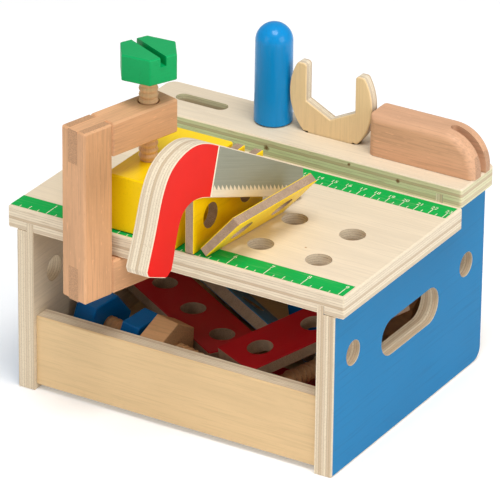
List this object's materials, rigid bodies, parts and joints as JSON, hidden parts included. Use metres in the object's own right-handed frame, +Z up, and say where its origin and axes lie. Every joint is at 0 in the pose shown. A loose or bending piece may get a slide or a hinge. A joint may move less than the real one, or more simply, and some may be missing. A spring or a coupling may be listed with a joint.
{
  "type": "toy workbench",
  "caption": "Small wooden toy workbench with blue sides, a holed worktop, a clamp, a rack with saw, hammer, wrench and screwdriver, and a bin of bolts and strips.",
  "frame": {"origin": "on the floor, at the middle of the overall length and depth", "axes": "+X runs to the right along the worktop, +Y runs back to the tool rack, +Z up"},
  "size_m": [0.2351, 0.2611, 0.2312],
  "materials": {
    "blue_panel": "gloss paint on plywood",
    "plywood": "clear lacquered birch plywood",
    "front_board": "clear lacquered plywood",
    "beech": "bare beech",
    "pale_beech": "bare beech",
    "green_gloss": "gloss paint on wood",
    "blue_gloss": "gloss paint on wood",
    "yellow_gloss": "gloss paint on fibreboard",
    "red_gloss": "gloss paint on fibreboard"
  },
  "bodies": {
    "bench": {"side_left": "blue_panel", "side_right": "blue_panel", "worktop": "plywood", "tool_rack": "plywood", "front_board": "front_board", "back_board": "plywood", "bin_floor": "plywood", "dowels": "beech"},
    "clamp_frame": {"clamp_post": "beech", "clamp_lower_arm": "beech", "clamp_upper_arm": "beech"},
    "clamp_screw_body": {"clamp_screw": "beech"},
    "clamp_knob": {"clamp_screw_head": "green_gloss"},
    "block": {"yellow_block": "yellow_gloss"},
    "plate_left": {"yellow_plate_left": "yellow_gloss"},
    "plate_middle": {"yellow_plate_middle": "yellow_gloss"},
    "plate_leaning": {"yellow_plate_leaning": "yellow_gloss"},
    "saw_body": {"saw": "plywood"},
    "screwdriver": {"screwdriver_handle": "blue_gloss", "screwdriver_shaft": "beech"},
    "wrench_body": {"wrench": "plywood"},
    "hammer": {"hammer_head": "pale_beech", "hammer_handle": "pale_beech"},
    "strip_level": {"red_strip_level": "red_gloss"},
    "strip_sloping": {"red_strip_sloping": "red_gloss"},
    "plate_flat": {"red_plate_flat": "red_gloss"},
    "strip_tilted": {"blue_strip_tilted": "blue_gloss"},
    "front_bolt": {"front_bolt_head": "blue_gloss", "front_bolt_shaft": "beech"},
    "front_bolt_nut": {"front_nut": "blue_gloss"},
    "under_bolt": {"under_bolt_head": "blue_gloss", "under_bolt_shaft": "beech"},
    "plain_bolt": {"plain_bolt_head": "beech", "plain_bolt_shaft": "beech"},
    "rear_bolt": {"rear_bolt_head": "beech", "rear_bolt_shaft": "beech"},
    "spare_nut": {"loose_nut": "blue_gloss"}
  },
  "joints": [
    {"name": "clamp_slide", "type": "slide", "parent": "bench", "child": "clamp_frame", "axis": [1, 0, 0], "range_m": [-0.026, 0.018]},
    {"name": "screw_rise", "type": "slide", "parent": "clamp_frame", "child": "clamp_screw_body", "axis": [0, 0, 1], "range_m": [0, 0.032]},
    {"name": "screw_turn", "type": "hinge", "parent": "clamp_screw_body", "child": "clamp_knob", "pos_m": [-0.03846, -0.02311, 0.2], "axis": [0, 0, 1], "range_deg": [0, 2880]},
    {"name": "block_slide", "type": "slide", "parent": "bench", "child": "block", "axis": [0, 1, 0], "range_m": [0, 0.055]},
    {"name": "plate_left_lift", "type": "slide", "parent": "bench", "child": "plate_left", "axis": [0, 0, 1], "range_m": [0, 0.06]},
    {"name": "plate_middle_lift", "type": "slide", "parent": "bench", "child": "plate_middle", "axis": [0, 0, 1], "range_m": [0, 0.06]},
    {"name": "plate_leaning_lift", "type": "slide", "parent": "bench", "child": "plate_leaning", "axis": [0.6529, -0.064, 0.7547], "range_m": [0, 0.06]},
    {"name": "saw_lift", "type": "slide", "parent": "bench", "child": "saw_body", "axis": [0, 0, 1], "range_m": [0, 0.06]},
    {"name": "screwdriver_lift", "type": "slide", "parent": "bench", "child": "screwdriver", "axis": [0, 0, 1], "range_m": [0, 0.09]},
    {"name": "wrench_lift", "type": "slide", "parent": "bench", "child": "wrench_body", "axis": [0, 0, 1], "range_m": [0, 0.1]},
    {"name": "hammer_lift", "type": "slide", "parent": "bench", "child": "hammer", "axis": [0, 0, 1], "range_m": [0, 0.09]},
    {"name": "strip_level_lift", "type": "slide", "parent": "bench", "child": "strip_level", "axis": [0, 0, 1], "range_m": [0, 0.035]},
    {"name": "strip_sloping_lift", "type": "slide", "parent": "bench", "child": "strip_sloping", "axis": [0, 0, 1], "range_m": [0, 0.035]},
    {"name": "plate_flat_slide", "type": "slide", "parent": "bench", "child": "plate_flat", "axis": [0, -1, 0], "range_m": [0, 0.022]},
    {"name": "strip_tilted_slide", "type": "slide", "parent": "bench", "child": "strip_tilted", "axis": [-0.8526, 0.5225, 0], "range_m": [0, 0.008]},
    {"name": "front_bolt_lift", "type": "slide", "parent": "bench", "child": "front_bolt", "axis": [0, 0, 1], "range_m": [0, 0.03]},
    {"name": "front_nut_turn", "type": "hinge", "parent": "front_bolt", "child": "front_bolt_nut", "pos_m": [-0.0825, -0.0083, 0.0315], "axis": [0.9744, -0.225, 0], "continuous": true},
    {"name": "under_bolt_slide", "type": "slide", "parent": "bench", "child": "under_bolt", "axis": [1, 0, 0], "range_m": [0, 0.01]},
    {"name": "plain_bolt_lift", "type": "slide", "parent": "bench", "child": "plain_bolt", "axis": [0, 0, 1], "range_m": [0, 0.022]},
    {"name": "rear_bolt_lift", "type": "slide", "parent": "bench", "child": "rear_bolt", "axis": [0, 0, 1], "range_m": [0, 0.025]},
    {"name": "spare_nut_lift", "type": "slide", "parent": "bench", "child": "spare_nut", "axis": [0, 0, 1], "range_m": [0, 0.04]}
  ],
  "couplings": [
    {"joint": "screw_turn", "follows": "screw_rise", "rad_per_m": 1570.8}
  ]
}
